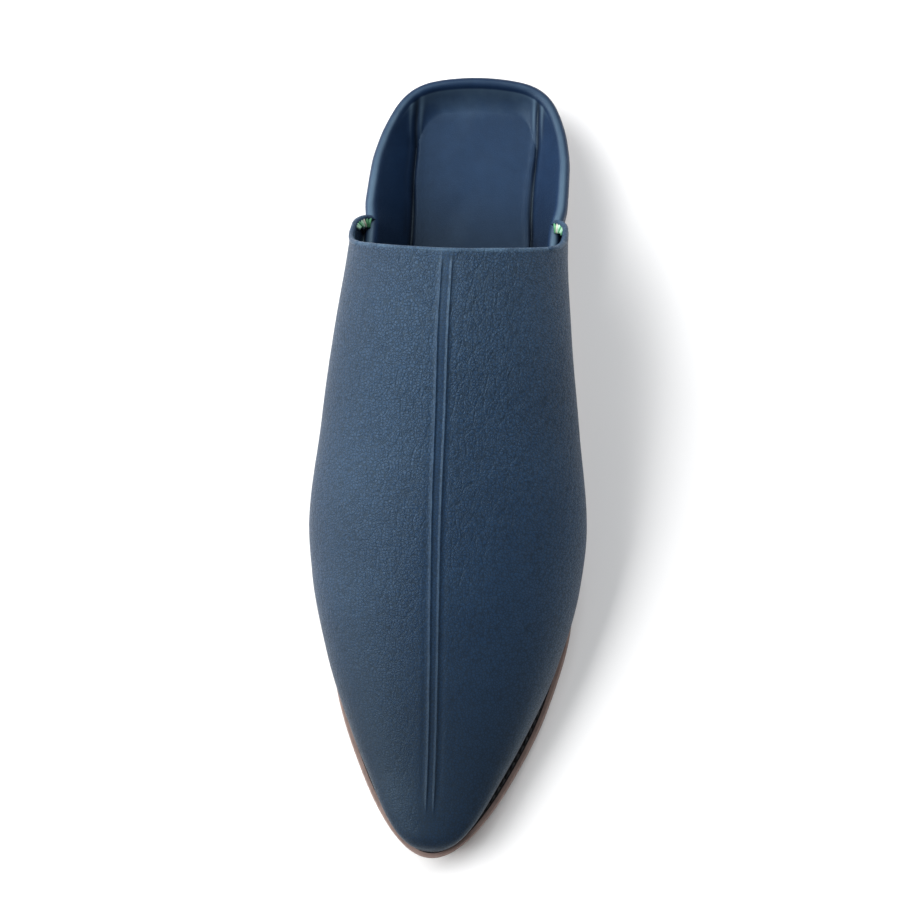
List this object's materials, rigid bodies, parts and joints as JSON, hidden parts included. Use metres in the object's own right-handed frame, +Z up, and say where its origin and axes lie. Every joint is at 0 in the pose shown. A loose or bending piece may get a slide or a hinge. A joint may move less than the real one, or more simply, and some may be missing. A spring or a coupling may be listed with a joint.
{
  "type": "babouche slipper",
  "caption": "Pointed leather slipper with a long vamp, a folded-down heel back and a flat leather sole, standing empty.",
  "frame": {"origin": "on the ground, under the middle of the slipper's length and width", "axes": "+Z up, toe towards -Y, heel towards +Y, X across the foot"},
  "size_m": [0.092, 0.265, 0.0625],
  "materials": {
    "sole_leather": "natural veg-tanned sole leather, matt cut edge",
    "sock_leather": "smooth navy leather, satin",
    "vamp_leather": "navy full-grain leather, fine pebble grain, satin",
    "back_leather": "navy leather, smooth, satin",
    "thread": "waxed sewing thread, green, mint and cream at the throat corners, dark at the sole"
  },
  "bodies": {
    "root": {"outsole": "sole_leather", "insole": "sock_leather", "upper": "vamp_leather", "quarter": "back_leather"}
  },
  "joints": []
}
